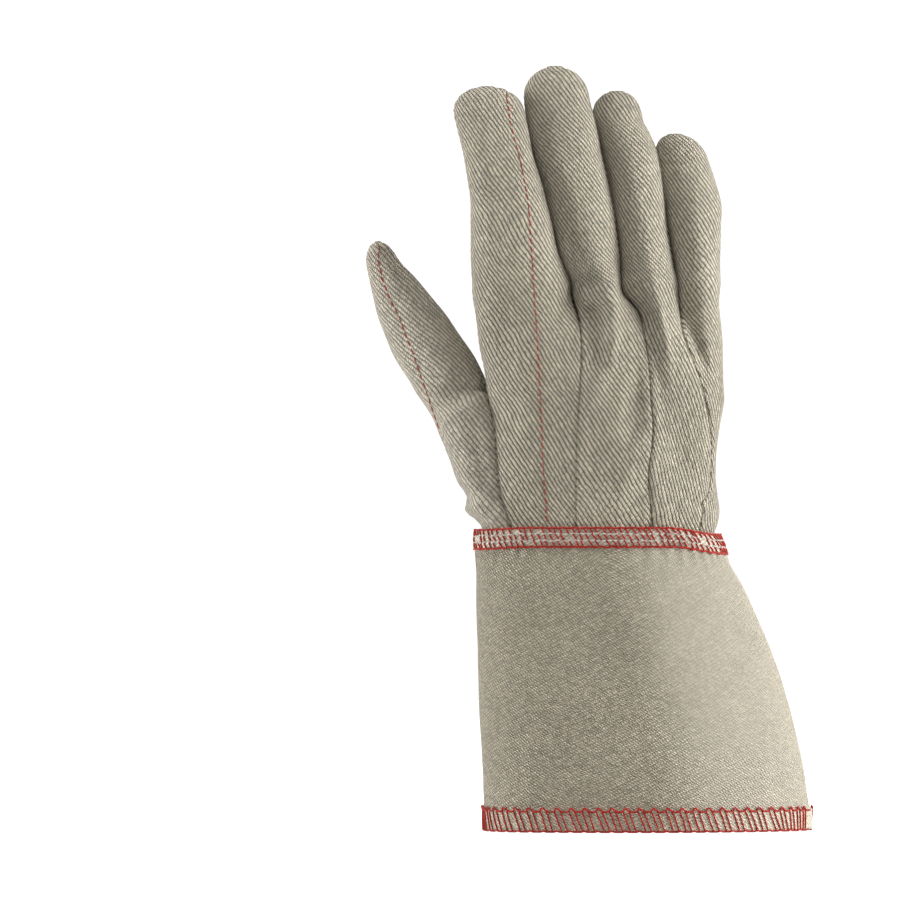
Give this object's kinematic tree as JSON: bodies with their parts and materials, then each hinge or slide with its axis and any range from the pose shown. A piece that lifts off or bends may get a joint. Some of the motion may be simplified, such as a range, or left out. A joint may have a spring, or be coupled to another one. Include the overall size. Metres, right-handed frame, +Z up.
{
  "type": "canvas work glove",
  "caption": "Right-hand cotton canvas work glove with fingers, set-in thumb, stitched wrist band and a wide flared gauntlet cuff.",
  "frame": {"origin": "middle of the wrist, inside the sewn band", "axes": "+Z up along the fingers, -Y out of the back of the hand, +Y out of the palm, -X towards the thumb"},
  "size_m": [0.2143, 0.085, 0.3664],
  "materials": {
    "hand_canvas": "heavy cotton twill, unbleached, napped and creased",
    "band_canvas": "cotton canvas under red and white overlock stitches",
    "cuff_canvas": "stiff cotton duck, unbleached, red overlocked hem"
  },
  "bodies": {
    "root": {"palm": "hand_canvas", "back_middle": "hand_canvas", "back_ring": "hand_canvas", "back_little": "hand_canvas", "thumb": "hand_canvas", "wrist_band": "band_canvas", "cuff": "cuff_canvas"}
  },
  "joints": []
}
